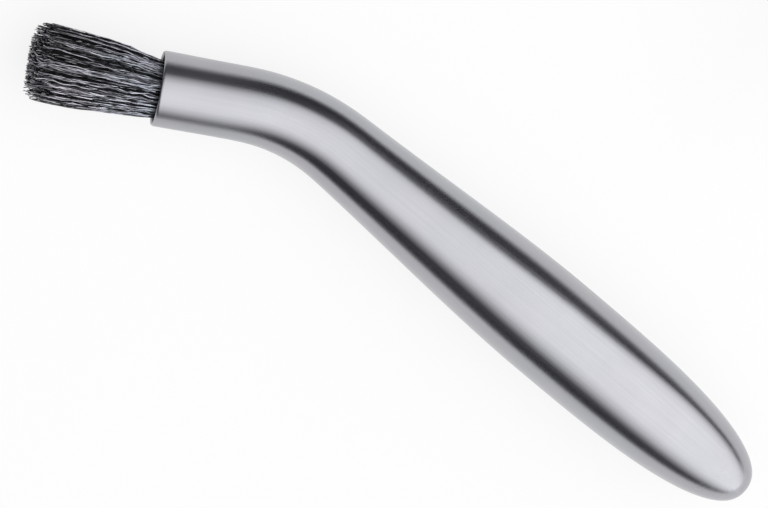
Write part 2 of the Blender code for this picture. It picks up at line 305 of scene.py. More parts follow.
def makeSatinSteel():
    # Lines, streaks and clouds pale the colour, and broad patches cool it.
    material, tree, shader = newMaterial("satin steel", Metallic=1.0)
    place = readAttribute(tree, "alongHandle", "Vector")
    brushed = drawLines(tree, place, satin["lineWidth"], satin["lineLength"])
    noiseRange, spread = effects["noiseRange"], satin["roughnessSpread"]
    lines = remap(tree, brushed["Lines"], *noiseRange, 0.0, satin["lineShare"])
    streaks = remap(tree, brushed["Streaks"], *noiseRange, 0.0, satin["streakShare"])
    uneven = multiply(tree, drawClouds(tree, place, satin["patchSize"]), satin["cloudShare"])
    tone = calculate(tree, "ADD", calculate(tree, "ADD", lines, streaks), uneven, clamp=True)
    colour = mixColours(tree, tone, satin["colour"], satin["paleColour"])
    tinted = mixColours(tree, 1.0, colour, satin["coolTint"], "MULTIPLY")
    cool = drawClouds(tree, place, satin["tintSize"])
    feed(tree, mixColours(tree, cool, colour, tinted), shader.inputs["Base Color"])
    rough = remap(
        tree, brushed["Streaks"], *noiseRange, satin["roughness"] - spread,
        satin["roughness"] + spread)
    start, end = (middleLength - fromMouth for fromMouth in satin["neckRough"])
    nearMouth = fade(tree, splitAxes(tree, place)[0], start, end)
    rougher = multiply(tree, nearMouth, satin["neckRoughness"])
    feed(tree, calculate(tree, "ADD", rough, rougher), shader.inputs["Roughness"])
    setBump(tree, shader, brushed["Lines"], satin["lineDepth"])
    return material


# The handle: a hollow steel form along a middle line with one bend

handle = {
    "buttToCorner": 125.279 * mm,  # to where the two straight lines would meet
    "cornerToMouth": 29.929 * mm,
    "cornerFromBendStart": 12.479 * mm,
    "bendAngle": math.radians(29.56),
    "bendRadius": 44.6 * mm,
    "bendEase": 10 * mm,
    "bellyDiameter": 22.88 * mm,
    "bellyPlace": 55.9 * mm,
    "waistDiameter": 15.82 * mm,
    "waistDepth": 14.4 * mm,
    "mouthDiameter": 16 * mm,
    "wall": 0.6 * mm,
    "buttAlongPower": 3.18,
    "buttAcrossPower": 2.42,
    "taperPower": 0.86,
    "rimRound": 0.32 * mm,
    "rimReach": 0.6 * mm,  # how far back from the rim the edge is eased
    "rimSteps": 14,
    "buttRows": 70,
    "buttRowPower": 1.2,
    "shaftRows": 190,
    "columns": 96,  # around one half
    "bendSamples": 1200,
    "slopeSteps": 20,  # for each row, where the outline's slope is read
    "poleShare": 0.75,  # of the belly's radius, below which the brush lines draw together
}


def bendTable():
    # The curvature rises over the ease as half a cosine, holds, and falls again. The turn is
    # its running sum, and the line is the running sum of the turning direction.
    ease = handle["bendEase"]
    span = handle["bendAngle"] * handle["bendRadius"] + ease
    along = np.linspace(0, span, handle["bendSamples"])
    curvature = eased(along / ease) * eased((span - along) / ease) / handle["bendRadius"]

    def runningSum(values):
        steps = (values[1:] + values[:-1]) / 2 * np.diff(along)
        return np.concatenate([[0], np.cumsum(steps)])

    turn = runningSum(curvature)
    turn *= handle["bendAngle"] / turn[-1]
    x = runningSum(-np.cos(turn))
    y = runningSum(-np.sin(turn))
    tangent = -x[-1] + y[-1] / math.tan(handle["bendAngle"])
    return {
        "along": along, "turn": turn, "x": x, "y": y, "curvature": curvature,
        "span": span, "tangent": tangent,
    }


bend = bendTable()
bendPlace = handle["buttToCorner"] - bend["tangent"]
middleLength = bendPlace + bend["span"] + handle["cornerToMouth"] - bend["tangent"]


def middleLine(distance):
    # Point, direction and curvature of the middle line at distances from the butt end.
    inBend = np.clip(distance - bendPlace, 0, bend["span"])
    before = np.minimum(distance - bendPlace, 0)
    past = np.maximum(distance - bendPlace - bend["span"], 0)
    turn = np.interp(inBend, bend["along"], bend["turn"])
    start = bend["tangent"] - handle["cornerFromBendStart"]
    x = start - before + np.interp(inBend, bend["along"], bend["x"]) - past * np.cos(turn)
    y = np.interp(inBend, bend["along"], bend["y"]) - past * np.sin(turn)
    curvature = np.interp(inBend, bend["along"], bend["curvature"])
    zero = np.zeros_like(x)
    return np.stack([x, y, zero], -1), np.stack([-np.cos(turn), -np.sin(turn), zero], -1), curvature


def outlineRadius(distance, inset):
    # A blunt oval to the belly, an eased taper to the waist and a slight flare to the mouth.
    diameters = (handle[part + "Diameter"] for part in ("belly", "waist", "mouth"))
    belly, waist, mouth = (diameter / 2 - inset for diameter in diameters)
    bellyPlace = handle["bellyPlace"]
    waistPlace = middleLength - handle["waistDepth"]
    along = np.clip((bellyPlace - distance) / (bellyPlace - inset), 0, 1)
    butt = belly * (1 - along ** handle["buttAlongPower"]) ** (1 / handle["buttAcrossPower"])
    share = np.clip((distance - bellyPlace) / (waistPlace - bellyPlace), 0, 1)
    taper = belly + (waist - belly) * eased(share ** handle["taperPower"])
    flare = waist + (mouth - waist) * eased((distance - waistPlace) / handle["waistDepth"])
    return np.where(distance < bellyPlace, butt, np.where(distance < waistPlace, taper, flare))


def handleProfile(inset):
    # Distances, radii and tangent from the pole of the butt to the rim's rounding. The tangent is
    # read from many times as many points.
    fine = handle["slopeSteps"]
    share = np.linspace(0, 1, handle["buttRows"] * fine + 1)
    turn = np.pi / 2 * share ** handle["buttRowPower"]
    along = np.clip(np.cos(turn), 0, 1) ** (2 / handle["buttAlongPower"])
    buttDistance = handle["bellyPlace"] - along * (handle["bellyPlace"] - inset)
    shaftEnd = middleLength - handle["rimReach"]
    shaftDistance = np.linspace(handle["bellyPlace"], shaftEnd, handle["shaftRows"] * fine + 1)
    distances, radii, tangents = [], [], []
    for distance, first in ((buttDistance, 0), (shaftDistance, fine)):
        radius = outlineRadius(distance, inset)
        tangent = unit(np.stack([np.gradient(distance), np.gradient(radius)], -1))
        distances.append(distance[first::fine])
        radii.append(radius[first::fine])
        tangents.append(tangent[first::fine])
    radii[0][0] = 0
    tangents[0][0] = (0, 1)
    return np.concatenate(distances), np.concatenate(radii), np.concatenate(tangents)


def wallProfile():
    # Up the outside, round the rim and back down the bore, with as many points on each side.
    outerDistance, outerRadius, outerTangent = handleProfile(0)
    innerDistance, innerRadius, innerTangent = handleProfile(handle["wall"])
    corner, reach = handle["rimRound"], handle["rimReach"]
    turn = np.linspace(0, np.pi / 2, handle["rimSteps"] + 1)[1:]
    rimDistance = middleLength - reach + reach * np.sin(turn)
    rimOuter = outerRadius[-1] - corner + corner * np.cos(turn)
    rimInner = innerRadius[-1] + corner - corner * np.cos(turn)
    outward = unit(np.stack([reach * np.cos(turn), -corner * np.sin(turn)], -1))
    back = outward * (-1, 1)
    distance = np.concatenate([outerDistance, rimDistance, rimDistance[::-1], innerDistance[::-1]])
    radius = np.concatenate([outerRadius, rimOuter, rimInner[::-1], innerRadius[::-1]])
    tangent = np.concatenate([outerTangent, outward, back[::-1], -innerTangent[::-1]])
    return distance, radius, tangent


def handleHalf(name, side, node):
    # The profile swept half round the middle line: point = middle + radius (cos turn high + sin
    # turn sideways). Two flat seams join the outside to the bore, row by row. The normal is the
    # profile's own, with its length along the handle squeezed inside the bend.
    distance, radius, tangent = wallProfile()
    rows = len(distance)
    columns = handle["columns"] + 1
    turn = np.linspace(-np.pi / 2, np.pi / 2, columns)
    middle, direction, curvature = middleLine(distance)
    high = np.array([0, 0, side])
    sideways = np.cross(high, direction)
    radial = np.cos(turn)[None, :, None] * high + np.sin(turn)[None, :, None] * sideways[:, None]
    points = middle[:, None] + radius[:, None, None] * radial
    inward = np.cross(np.array([0, 0, 1]), direction)
    stretch = 1 - (curvature * radius)[:, None] * np.einsum("ijk,ik->ij", radial, inward)
    normals = radial * (tangent[:, :1] * stretch)[..., None] - (direction * tangent[:, 1:])[:, None]
    normals = unit(normals)
    # The place along and round the handle: the round part shrinks only towards the butt's pole.
    unrolled = handle["bellyDiameter"] / 2
    towardPole = np.minimum(1, radius / unrolled / handle["poleShare"])
    shrink = np.where(distance < handle["bellyPlace"], towardPole, 1)[:, None]
    place = np.empty_like(points)
    place[..., 0] = distance[:, None]
    place[..., 1] = side * unrolled * shrink * np.cos(turn)
    place[..., 2] = side * unrolled * shrink * np.sin(turn)

    def flat(values):
        # Both poles first, then the rows between them.
        return np.concatenate([values[0, :1], values[-1, :1], values[1:-1].reshape(-1, 3)])

    grid = 2 + np.arange((rows - 2) * columns).reshape(rows - 2, columns)
    quads = gridQuads(grid)
    pole = np.zeros(columns - 1, int)
    buttFan = np.stack([pole, grid[0, 1:], grid[0, :-1]], -1)
    boreFan = np.stack([pole + 1, grid[-1, :-1], grid[-1, 1:]], -1)
    seams = []
    for column in (0, -1):
        edge = np.concatenate([[0], grid[:, column], [1]])
        outer, inner = edge[:rows // 2], edge[::-1][:rows // 2]
        seam = np.stack([outer[:-1], outer[1:], inner[1:], inner[:-1]], -1)
        seams.append(seam if column == 0 else seam[:, ::-1])
    faces = np.concatenate([quads, *seams])
    fans = np.concatenate([buttFan, boreFan])
    piece = makePiece(name, laid(flat(points)), faces, fans, satinSteel, (node,))
    addAttribute(piece.data, "alongHandle", "FLOAT_VECTOR", flat(place))
    # The weld is ground flush, so the two halves shade as one surface across it.
    corners = np.empty(len(piece.data.loops), np.int32)
    piece.data.loops.foreach_get("vertex_index", corners)
    cornerNormals = (flat(normals) @ toTable.T)[corners]
    cornerNormals[len(quads) * 4:len(faces) * 4] = toTable @ -high
    piece.data.normals_split_custom_set(cornerNormals.tolist())


satinSteel = makeSatinSteel()
handleHalf("handleUpper", 1, "handle_shell_upper")
handleHalf("handleLower", -1, "handle_shell_lower")
print("handle halves made")


# The mouth of the neck: +Z out of it, +Y square to the bend, +X away from the grip's line

mouthMiddle, mouthOut, _ = middleLine(np.array([middleLength]))
mouthUpper = np.array([0, 0, 1.0])
mouthAxes = np.stack([np.cross(mouthUpper, mouthOut[0]), mouthUpper, mouthOut[0]])


def atMouth(points):
    # From the mouth's axes to the table's.
    return laid(points @ mouthAxes + mouthMiddle[0])


# What the neck holds, placed by depth below the mouth

fitted = {
    "columns": 96,
    "edge": 0.15 * mm,
    "edgeSteps": 4,
    "sleeveRadius": 6.959 * mm,
    "sleeveBore": 6.359 * mm,
    "sleeveDepths": (3.0 * mm, 11.0 * mm),
    "plugRadius": 6.94 * mm,
    "plugNarrow": 6.14 * mm,
    "plugDepths": (11.3 * mm, 14.3 * mm),
    "plugLeadIn": 0.8 * mm,
    "resinRadius": 6.019 * mm,
    "resinDepths": (8.5 * mm, 11.0 * mm),
    "resinDish": 0.25 * mm,
    "resinDishShare": 0.6,  # of the resin's radius, where the dish has that share of its depth
    "bindingRadius": 5.719 * mm,
    "wireRadius": 0.3 * mm,
    "bindingDepth": 7.6 * mm,
    "rootRadius": 5.119 * mm,
    "rootDepths": (7.0 * mm, 8.2 * mm),
}


def roundedOutline(corners, closed):
    # A (radius, height) outline with each corner cut by a short curve. An open one keeps its ends.
    corners = np.array(corners, float)
    points = []
    for index, corner in enumerate(corners):
        if not closed and index in (0, len(corners) - 1):
            points.append(corner)
            continue
        before = corners[index - 1] - corner
        after = corners[(index + 1) % len(corners)] - corner
        cut = min(fitted["edge"], np.linalg.norm(before) / 3, np.linalg.norm(after) / 3)
        start = corner + unit(before) * cut
        end = corner + unit(after) * cut
        for share in np.linspace(0, 1, fitted["edgeSteps"] + 1):
            bent = (1 - share) ** 2 * start + 2 * share * (1 - share) * corner + share ** 2 * end
            points.append(bent)
    return np.array(points)


def turnedPiece(name, corners, closed, material, replaced):
    # An outline turned round the mouth's axis: point = (radius cos turn, radius sin turn, height).
    # An open outline starts and ends on the axis, where a fan of triangles closes it.
    outline = roundedOutline(corners, closed)
    columns = fitted["columns"]
    turn = np.arange(columns) * 2 * np.pi / columns
    radius, height = (outline if closed else outline[1:-1]).T[..., None]
    points = np.stack([radius * np.cos(turn), radius * np.sin(turn), height + 0 * turn], -1)
    points = points.reshape(-1, 3)
    grid = np.arange(len(points)).reshape(-1, columns) + (0 if closed else 2)
    grid = np.pad(grid, ((0, int(closed)), (0, 1)), mode="wrap")
    fans = []
    if not closed:
        points = np.concatenate([[(0, 0, outline[0, 1]), (0, 0, outline[-1, 1])], points])
        pole = np.zeros(columns, int)
        fans = np.concatenate([
            np.stack([pole, grid[0, 1:], grid[0, :-1]], -1),
            np.stack([pole + 1, grid[-1, :-1], grid[-1, 1:]], -1)])
    return makePiece(name, atMouth(points), gridQuads(grid), fans, material, replaced)


plastic = {
    "dark": ((0.018, 0.018, 0.02, 1), (0.03, 0.03, 0.034, 1)),
    "darkRoughness": 0.5,
    "grey": ((0.26, 0.26, 0.26, 1), (0.33, 0.33, 0.33, 1)),
    "greyRoughness": 0.58,
    "roughnessSpread": 0.06,
    "ior": 1.48,
    "patchSize": 2.5 * mm,
    "grainSize": 0.12 * mm,
    "grainDepth": 0.006 * mm,
}


def makeMoulded(name, colours, roughness):
    # Moulded plastic: a fine even grain with slight cloudiness.
    material, tree, shader = newMaterial(name, IOR=plastic["ior"])
    place = objectPlace(tree)
    uneven = drawClouds(tree, place, plastic["patchSize"])
    feed(tree, mixColours(tree, uneven, *colours), shader.inputs["Base Color"])
    spread = plastic["roughnessSpread"]
    rough = remap(tree, uneven, 0.0, 1.0, roughness - spread, roughness + spread)
    feed(tree, rough, shader.inputs["Roughness"])
    setBump(tree, shader, drawClouds(tree, place, plastic["grainSize"]), plastic["grainDepth"])
    return material


epoxy = {
    "colour": (0.27, 0.19, 0.08, 1),
    "deepColour": (0.16, 0.10, 0.04, 1),
    "patchSize": 3 * mm,
    "roughness": (0.16, 0.3),
    "ior": 1.55,
    "bubbleSpacing": 0.7 * mm,
    "bubbleEdge": (0.12, 0.2),  # in spacings from a bubble's middle
    "bubbleDepth": 0.05 * mm,
}


def makeResin():
    # Cast resin: glossy, unevenly clear, with a few fine bubbles.
    material, tree, shader = newMaterial("cast resin", IOR=epoxy["ior"])
    place = objectPlace(tree)
    uneven = drawClouds(tree, place, epoxy["patchSize"])
    colour = mixColours(tree, uneven, epoxy["colour"], epoxy["deepColour"])
    feed(tree, colour, shader.inputs["Base Color"])
    rough = remap(tree, uneven, 0.0, 1.0, *epoxy["roughness"])
    feed(tree, rough, shader.inputs["Roughness"])
    bubbles = addNode(tree, "ShaderNodeTexVoronoi")
    feed(tree, place, bubbles.inputs["Vector"])
    feed(tree, 1 / epoxy["bubbleSpacing"], bubbles.inputs["Scale"])
    bubble = remap(tree, bubbles.outputs["Distance"], *epoxy["bubbleEdge"], 1.0, 0.0)
    setBump(tree, shader, bubble, epoxy["bubbleDepth"])
    return material


wire = {
    "colour": (0.30, 0.30, 0.31, 1),
    "paleColour": (0.40, 0.40, 0.40, 1),
    "roughness": (0.3, 0.45),
    "lineWidth": 0.07 * mm,
    "lineLength": 6 * mm,
    "lineDepth": 0.004 * mm,
    "stepsAround": 144,
    "stepsAcross": 14,
}


def makeDrawnWire():
    # Drawn wire: a little darker than the handle, with die lines along it.
    material, tree, shader = newMaterial("drawn wire", Metallic=1.0)
    place = readAttribute(tree, "alongWire", "Vector")
    drawn = drawLines(tree, place, wire["lineWidth"], wire["lineLength"])
    colour = mixColours(tree, drawn["Streaks"], wire["colour"], wire["paleColour"])
    feed(tree, colour, shader.inputs["Base Color"])
    rough = remap(tree, drawn["Lines"], *effects["noiseRange"], *wire["roughness"])
    feed(tree, rough, shader.inputs["Roughness"])
    setBump(tree, shader, drawn["Lines"], wire["lineDepth"])
    return material


darkPlastic = makeMoulded("dark moulded plastic", plastic["dark"], plastic["darkRoughness"])
greyPlastic = makeMoulded("grey moulded plastic", plastic["grey"], plastic["greyRoughness"])
castResin = makeResin()

top, bottom = (-depth for depth in fitted["sleeveDepths"])
outer, bore = fitted["sleeveRadius"], fitted["sleeveBore"]
turnedPiece(
    "tuftSleeve", [(outer, top), (outer, bottom), (bore, bottom), (bore, top)], True,
    darkPlastic, ("tuft_sleeve",))

top, bottom = (-depth for depth in fitted["plugDepths"])
outer, narrow, leadIn = fitted["plugRadius"], fitted["plugNarrow"], fitted["plugLeadIn"]
turnedPiece(
    "neckPlug", [(0, top), (outer, top), (outer, bottom + leadIn), (narrow, bottom), (0, bottom)],
    False, greyPlastic, ("neck_plug",))

top, bottom = (-depth for depth in fitted["resinDepths"])
outer, dish, share = fitted["resinRadius"], fitted["resinDish"], fitted["resinDishShare"]
turnedPiece(
    "pottingResin", [
        (0, top - dish), (outer * share, top - dish * share), (outer, top), (outer, bottom),
        (0, bottom)],
    False, castResin, ("potting_resin",))


def makeBinding():
    # A ring of round wire: a circle of the wire's radius carried round the binding's circle.
    around, across = wire["stepsAround"], wire["stepsAcross"]
    turn = np.arange(around)[:, None] * 2 * np.pi / around
    roll = np.arange(across)[None, :] * 2 * np.pi / across
    aside = fitted["wireRadius"] * np.cos(roll) + 0 * turn
    rise = fitted["wireRadius"] * np.sin(roll) + 0 * turn
    reach = fitted["bindingRadius"] + aside
    height = rise - fitted["bindingDepth"]
    points = np.stack([reach * np.cos(turn), reach * np.sin(turn), height], -1).reshape(-1, 3)
    grid = np.arange(around * across).reshape(around, across)
    quads = gridQuads(np.pad(grid, ((0, 1), (0, 1)), mode="wrap"))
    piece = makePiece(
        "rootBinding", atMouth(points), quads, [], makeDrawnWire(),
        ("root_binding",))
    place = np.stack([turn * fitted["bindingRadius"] + 0 * roll, aside, rise], -1)
    addAttribute(piece.data, "alongWire", "FLOAT_VECTOR", place)


makeBinding()
print("sleeve, plug, resin and binding made")


# The tuft: hairs set in a disc of resin, flaring out of the mouth

tuft = {
    "hairs": 1350,
    "crowding": 0.42,  # 0.5 is even, and less sets more of the hairs towards the outside
    "spokeSpread": 0.15,  # in radians
    "rows": 19,
    "rowPower": 1.2,  # over 1 sets the rows closer together towards the tip
    "sides": 3,
    "seed": 11,
    "hairDiameter": 0.27 * mm,
    "thickness": (0.8, 1.15),  # in diameters
    "tipShare": 0.8,
    "overTable": 0.6,  # the least height of a hair's middle, in diameters
    "rootDepth": 7.15 * mm,
    "rimDepth": 3.0 * mm,
    "rootRadius": 4.95 * mm,
    "rimRadius": 5.6 * mm,
    "endRadius": 8.55 * mm,
    "flarePower": 0.62,
    "tipCurl": 0.095,  # how far the tips curl inwards, in radii of the tuft
    "sideCurl": 0.035,  # and how much more they do so on the side away from the grip
    "curlPower": 6,
    "length": 27.6 * mm,
    "lean": math.radians(1.94),
    "slant": 0.1 * mm,  # how much shorter the hairs are on the side away from the grip
    "shoulder": 4.3 * mm,  # and how much shorter the outermost are
    "shoulderPower": 5,
    "lengthSpread": 2.2 * mm,
    "stiffness": 0.6,  # how much less the outermost hairs splay and wave
    "stiffPower": 6,
    "splay": 0.7 * mm,
    "wave": 0.35 * mm,
    "swings": (0.6, 1.3),  # how many of each kind of wave there are in a hair's length
    "crimp": 0.28 * mm,
    "crimpLength": (4.5 * mm, 7.0 * mm),
    "crimpRise": 10,  # it is full after a tenth of the length
    "crimpFall": 0.5,
    "frizz": 0.42 * mm,
    "frizzLength": (2.2 * mm, 3.8 * mm),
    "frizzPower": 7,
    "curlSpread": (0.4, 1.2),  # from hair to hair, for the crimp and the frizz
    "lock": 0.7 * mm,
    "lockSize": 1.9 * mm,
    "lockSpread": (0.7, 1.4),
    "lockWaves": 7,
    "lockPower": 1.5,
    "reach": (0.99, 1.045),  # how far a hair may stray, in radii of the tuft
    "held": 0.09,  # how far the sleeve holds the hairs in, on the side towards the grip
    "heldLength": 9 * mm,
    "innerShade": 0.35,  # painted shade: how much darker a hair is in the middle of the tuft, where its depth lies in shade
    "sideShade": 0.18,  # and painted shade on the side towards the grip, which faces away from the light
    "strayHairs": 20,
    "strayShare": (0.95, 1.0),
    "strayLooseness": (2, 4),
    "strayReach": (1.0, 1.05),
}


def hairPaths(share, looseness, reach, random):
    # Each hair keeps its share of the radius and its spoke: it runs straight from the root to the
    # sleeve's rim and then flares. The spokes are a golden angle apart. Splay, waves, crimp, frizz
    # and locks move a hair aside.
    count, rows = len(share), tuft["rows"]
    spoke = np.arange(count) * np.pi * (3 - math.sqrt(5))
    spoke = spoke + random.normal(0, tuft["spokeSpread"], count)
    heading = np.stack([np.cos(spoke), np.sin(spoke)], -1)
    end = tuft["length"] - tuft["shoulder"] * share ** tuft["shoulderPower"]
    end -= tuft["slant"] * share * heading[:, 0]
    end -= tuft["lengthSpread"] * random.uniform(0, 1, count) ** 2
    step = np.concatenate([[0], 1 - np.linspace(1, 0, rows) ** tuft["rowPower"]])
    height = -tuft["rimDepth"] + step[None, :] * (end[:, None] + tuft["rimDepth"])
    height[:, 0] = -tuft["rootDepth"]
    out = np.clip((height + tuft["rimDepth"]) / (tuft["length"] + tuft["rimDepth"]), 0, 1)
    flare = tuft["endRadius"] - tuft["rimRadius"]
    radius = tuft["rimRadius"] + flare * out ** tuft["flarePower"]
    curl = tuft["tipCurl"] + tuft["sideCurl"] * heading[:, :1]
    radius *= 1 - curl * out ** tuft["curlPower"]
    radius[:, 0] = tuft["rootRadius"]
    aside = (radius * share[:, None])[..., None] * heading[:, None]
    # Splay: a straight drift. Waves: two slow swings each way, none at the rim.
    free = looseness * (1 - tuft["stiffness"] * share ** tuft["stiffPower"])
    free = free[:, None, None]
    drift = random.normal(0, 1, (count, 2))
    aside += tuft["splay"] * (out[..., None] * drift[:, None]) * free
    for swing in tuft["swings"]:
        phase = random.uniform(0, 2 * np.pi, (count, 1, 2))
        size = random.normal(0, 1, (count, 1, 2)) * tuft["wave"] / swing
        bent = np.sin(2 * np.pi * swing * out[..., None] + phase) - np.sin(phase)
        aside += size * bent * out[..., None] * free
    # Crimp: a small even wave, each hair in its own plane and with its own pace. Frizz: a
    # shorter one, near the tips alone.
    crimped = np.clip(out * tuft["crimpRise"], 0, 1) * (1 - tuft["crimpFall"] * out)
    frizzed = out ** tuft["frizzPower"]
    for kind, grown in (("crimp", crimped), ("frizz", frizzed)):
        pace = 2 * np.pi / random.uniform(*tuft[kind + "Length"], (count, 1))
        plane = random.uniform(0, 2 * np.pi, count)
        curl = np.sin(height * pace + random.uniform(0, 2 * np.pi, (count, 1)))
        curl *= tuft[kind] * random.uniform(*tuft["curlSpread"], (count, 1)) * grown
        aside += curl[..., None] * np.stack([np.cos(plane), np.sin(plane)], -1)[:, None]
    # Locks: neighbours are drawn together by the slope of a smooth bumpy field.
    field = np.zeros((count, rows + 1, 2))
    base = (share[:, None] * heading) * tuft["endRadius"]
    for _ in range(tuft["lockWaves"]):
        turn = random.uniform(0, 2 * np.pi)
        wave = np.array([math.cos(turn), math.sin(turn)]) * 2 * np.pi / tuft["lockSize"]
        wave = wave * random.uniform(*tuft["lockSpread"])
        slope = np.sin(base @ wave + random.uniform(0, 2 * np.pi))
        field += (slope[:, None, None] * unit(wave)) * (out ** tuft["lockPower"])[..., None]
    aside += field * tuft["lock"] / 2
    # What strays is drawn back, the sleeve holds one side in, and the whole tuft leans.
    limit = random.uniform(*reach, (count, 1)) * radius
    away = np.maximum(np.linalg.norm(aside, axis=-1), 0.001 * mm)  # never nought
    aside *= np.minimum(1, limit / away)[..., None]
    held = tuft["held"] * eased(1 - height / tuft["heldLength"])
    aside[..., 0] *= np.where(aside[..., 0] < 0, 1 - held, 1)
    aside[..., 0] -= math.tan(tuft["lean"]) * np.maximum(height + tuft["rimDepth"], 0)
    return np.concatenate([aside, height[..., None]], -1)


def hairPiece(name, paths, shade, random):
    # A thin tube along each path: point = path + radius (cos roll side + sin roll other side), with
    # the radius falling to the tip, and both ends closed. No hair goes below the table.
    count, rows, _ = paths.shape
    sides, diameter = tuft["sides"], tuft["hairDiameter"]
    middle = atMouth(paths)
    middle[..., 2] = np.maximum(middle[..., 2], diameter * tuft["overTable"])
    heading = unit(np.gradient(middle, axis=1))
    side = unit(np.cross(heading, toTable @ mouthAxes[0]))
    other = np.cross(heading, side)
    taper = np.linspace(1, tuft["tipShare"], rows)
    thickness = random.uniform(*tuft["thickness"], (count, 1)) * taper * diameter / 2
    roll = random.uniform(0, 2 * np.pi, (count, 1, 1)) + np.arange(sides) * 2 * np.pi / sides
    ring = np.cos(roll)[..., None] * side[:, :, None] + np.sin(roll)[..., None] * other[:, :, None]
    points = (middle[:, :, None] + thickness[..., None, None] * ring).reshape(-1, 3)
    grid = np.arange(count * rows * sides).reshape(count, rows, sides)
    beside = np.roll(grid, -1, 2)
    quads = np.stack([grid[:, :-1], beside[:, :-1], beside[:, 1:], grid[:, 1:]], -1).reshape(-1, 4)
    ends = np.concatenate([grid[:, 0, ::-1], grid[:, -1]])
    piece = makePiece(
        name, points, quads, ends, blackBristle, ("bristle_tuft",))
    # Each hair has its own random tone, less its painted shade, and its own place in the pattern of
    # flecks.
    tone = random.uniform(0, 1, (count, 1, 1)) - np.reshape(shade, (count, 1, 1))
    toTip = np.broadcast_to(np.linspace(0, 1, rows)[None, :, None], grid.shape)
    along = np.empty((*grid.shape, 3))
    along[..., 0] = paths[..., 2:]
    along[..., 1:] = random.uniform(0, 1, (count, 1, 1, 2))
    addAttribute(piece.data, "tone", "FLOAT", np.broadcast_to(tone, grid.shape))
    addAttribute(piece.data, "towardTip", "FLOAT", toTip)
    addAttribute(piece.data, "alongHair", "FLOAT_VECTOR", along)


bristle = {
    "darkTints": ((0.006, 0.0065, 0.009, 1), (0.004, 0.004, 0.005, 1)),  # at the root and the tip
    # The pale tints are partly painted highlight, standing in for the sheen of glossy black hair.
    "paleSheenTints": ((0.78, 0.79, 0.90, 1), (0.97, 0.91, 1.0, 1)),
    "outward": (0.25, 0.75),  # the shares of the length between which the tints change
    "patchTint": (0.93, 1.0, 0.98, 1),
    "patchSize": 7 * mm,
    "fleckSize": 2.5 * mm,
    "outwardShade": 0.08,  # how much darker a hair gets over that length
    "tones": (0.36, 0.62),  # a hair is dark below the first and pale above the second
    # Between which two values of the pattern or the place the pale share is multiplied by what
    "fleckEffect": (0.2, 0.8, 0.25, 1.25),
    "tipEffect": (0.3, 1.0, 1.15, 0.9),
    # Painted shade: the hairs just inside the mouth are darkened where the rim shades them.
    "mouthShadeEffect": (0.1 * mm, 1.2 * mm, 0.35, 1.0),
    # The cut tips are paler, partly as a rough cut is and partly as a painted glint.
    "cutGlintEffect": (0.985, 1.0, 0.0, 0.4),  # and what is added to it
    "metallic": 0.6,
    "roughness": (0.25, 0.4),
    "specular": 0.16,
    "ior": 1.5,
}


def makeBristle():
    # Black bristle: each hair its own random tone from near black to grey, bluish near the root,
    # with flecks along it. The grey is partly a painted highlight standing in for the sheen of
    # glossy black hair; the hairs are painted darker in the mouth's shade, and the cut at the tip
    # is paler, partly as a painted glint.
    material, tree, shader = newMaterial(
        "black bristle", IOR=bristle["ior"], Specular_IOR_Level=bristle["specular"])
    tone = readAttribute(tree, "tone", "Fac")
    toTip = readAttribute(tree, "towardTip", "Fac")
    place = readAttribute(tree, "alongHair", "Vector")
    height = splitAxes(tree, place)[0]
    flecks = drawClouds(tree, place, bristle["fleckSize"])
    patches = drawClouds(tree, objectPlace(tree), bristle["patchSize"])
    outward = remap(tree, toTip, *bristle["outward"], 0.0, 1.0)
    dark = mixColours(tree, outward, *bristle["darkTints"])
    pale = mixColours(tree, outward, *bristle["paleSheenTints"])
    tinted = mixColours(tree, 1.0, pale, bristle["patchTint"], "MULTIPLY")
    pale = mixColours(tree, patches, pale, tinted)
    tone = calculate(tree, "SUBTRACT", tone, multiply(tree, outward, bristle["outwardShade"]))
    # A hair's share of the pale tint, partly painted highlight, comes from its own tone and is
    # broken into strokes along it by the flecks.
    share = remap(tree, tone, *bristle["tones"], 0.0, 1.0)
    for value, effect in ((flecks, "fleckEffect"), (toTip, "tipEffect"), (height, "mouthShadeEffect")):
        factor = remap(tree, value, *bristle[effect])
        share = calculate(tree, "MULTIPLY", share, factor, clamp=True)
    share = calculate(tree, "ADD", share, remap(tree, toTip, *bristle["cutGlintEffect"]), clamp=True)
    feed(tree, mixColours(tree, share, dark, pale), shader.inputs["Base Color"])
    feed(tree, multiply(tree, share, bristle["metallic"]), shader.inputs["Metallic"])
    rough = remap(tree, flecks, 0.0, 1.0, *bristle["roughness"])
    feed(tree, rough, shader.inputs["Roughness"])
    return material


blackBristle = makeBristle()
random = np.random.default_rng(tuft["seed"])
share = ((np.arange(tuft["hairs"]) + 0.5) / tuft["hairs"]) ** tuft["crowding"]
paths = hairPaths(share, np.ones(len(share)), tuft["reach"], random)
# Painted shade for each hair: darker in the middle of the tuft and on the side towards the grip.
towardGrip = np.clip(-paths[:, -1, 0] / tuft["endRadius"], 0, 1)
shade = tuft["innerShade"] * (1 - share) + tuft["sideShade"] * towardGrip ** 2
hairPiece("bristles", paths, shade, random)

share = random.uniform(*tuft["strayShare"], tuft["strayHairs"])
looseness = random.uniform(*tuft["strayLooseness"], len(share))
paths = hairPaths(share, looseness, tuft["strayReach"], random)
hairPiece("strayHairs", paths, np.zeros(len(share)), random)

top, bottom = (-depth for depth in fitted["rootDepths"])
outer = fitted["rootRadius"]
turnedPiece(
    "rootDisc", [(0, top), (outer, top), (outer, bottom), (0, bottom)],
    False, castResin, ("bristle_tuft",))
print("tuft made:", tuft["hairs"], "hairs")


# The floor, the lights and the camera

